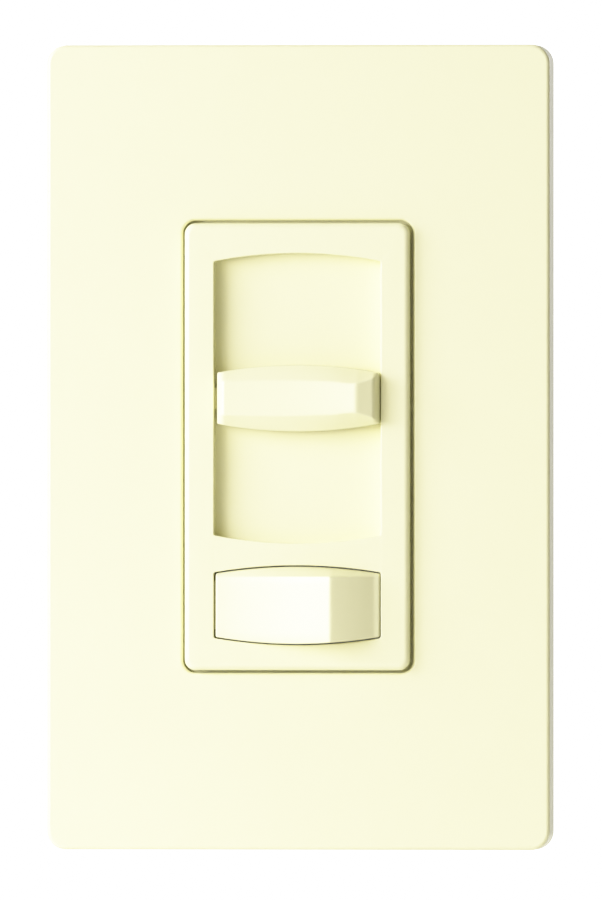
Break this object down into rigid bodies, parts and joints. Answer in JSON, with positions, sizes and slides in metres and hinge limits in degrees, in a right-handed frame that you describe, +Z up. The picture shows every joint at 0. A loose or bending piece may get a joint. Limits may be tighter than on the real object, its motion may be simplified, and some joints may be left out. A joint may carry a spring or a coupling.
{
  "type": "dimmer slide switch",
  "caption": "Wall dimmer with a vertical slide control above a push on/off button, set in a bezel and a smooth screwless wall plate, with its yoke and rear housing.",
  "frame": {"origin": "centre of the device on the wall plane, midway between the two box screws", "axes": "+X right as seen from the front, +Z up, +Y into the wall, so the front faces -Y"},
  "size_m": [0.0746, 0.0447, 0.119],
  "materials": {
    "ivory_plastic": "gloss",
    "adapter_plastic": "satin",
    "black_moulding": "satin",
    "yoke_aluminium": "stamped",
    "screw_steel": "zinc plated",
    "washer_fibre": "matte",
    "board_laminate": "satin",
    "contact_brass": "satin",
    "winding_copper": "enamelled",
    "core_powder": "painted",
    "switch_phenolic": "satin",
    "plunger_nylon": "satin",
    "element_carbon": "matte",
    "capacitor_film": "satin",
    "capacitor_dip": "satin",
    "diac_glass": "gloss",
    "resistor_body": "satin",
    "pad_silicone": "matte",
    "tinned_steel": "tinned"
  },
  "bodies": {
    "device": {"wallplate_cover": "ivory_plastic", "wallplate_adapter": "adapter_plastic", "adapter_screw_upper": "screw_steel", "adapter_screw_lower": "screw_steel", "yoke": "yoke_aluminium", "box_screw_upper": "screw_steel", "box_screw_lower": "screw_steel", "screw_retainer_upper": "washer_fibre", "screw_retainer_lower": "washer_fibre", "bezel": "ivory_plastic", "button_spring": "tinned_steel", "rear_housing": "black_moulding", "housing_screw_1": "screw_steel", "housing_screw_2": "screw_steel", "housing_screw_3": "screw_steel", "housing_screw_4": "screw_steel", "circuit_board": "board_laminate", "pot_case": "tinned_steel", "pot_element": "element_carbon", "switch_base": "switch_phenolic", "switch_contact_a": "contact_brass", "switch_contact_b": "contact_brass", "triac_pad": "pad_silicone", "triac": "black_moulding", "triac_rivet": "yoke_aluminium", "ground_rivet": "contact_brass", "ground_tab": "contact_brass", "choke_core": "core_powder", "choke_winding": "winding_copper", "film_capacitor": "capacitor_film", "timing_capacitor": "capacitor_dip", "diac": "diac_glass", "resistor_1": "resistor_body", "resistor_2": "resistor_body", "resistor_3": "resistor_body", "trimmer_base": "plunger_nylon", "lead_crimp_1": "tinned_steel", "lead_crimp_2": "tinned_steel", "lead_crimp_3": "tinned_steel"},
    "slide": {"slider_knob": "ivory_plastic", "pot_carriage": "plunger_nylon", "pot_wiper": "contact_brass"},
    "button": {"on_off_button": "ivory_plastic"},
    "plunger": {"switch_plunger": "plunger_nylon"},
    "rocker": {"switch_rocker": "contact_brass"},
    "latch": {"switch_latch_pin": "screw_steel"},
    "trimmer": {"trimmer_rotor": "contact_brass"}
  },
  "joints": [
    {"name": "dimmer_slide", "type": "slide", "parent": "device", "child": "slide", "axis": [0, 0, 1], "range_m": [-0.016, 0.016]},
    {"name": "button_press", "type": "slide", "parent": "device", "child": "button", "axis": [0, 1, 0], "range_m": [0, 0.0018], "stiffness_N_per_m": 1200, "springref_m": -0.0008},
    {"name": "plunger_press", "type": "slide", "parent": "device", "child": "plunger", "axis": [0, 1, 0], "range_m": [0, 0.0018], "deforming": ["button_spring"]},
    {"name": "contact_rock", "type": "hinge", "parent": "device", "child": "rocker", "pos_m": [-0.0058, 0.0059, -0.02335], "axis": [1, 0, 0], "range_deg": [0, 12]},
    {"name": "latch_swing", "type": "hinge", "parent": "device", "child": "latch", "pos_m": [0.0058, 0.0064, -0.01895], "axis": [1, 0, 0], "range_deg": [0, 6]},
    {"name": "trimmer_adjust", "type": "hinge", "parent": "device", "child": "trimmer", "pos_m": [0.0085, 0.014, -0.017], "axis": [0, 1, 0], "range_deg": [-135, 135]}
  ],
  "couplings": [
    {"joint": "plunger_press", "follows": "button_press", "ratio": 1},
    {"joint": "contact_rock", "follows": "button_press", "rad_per_m": 116},
    {"joint": "latch_swing", "follows": "button_press", "rad_per_m": 58}
  ]
}
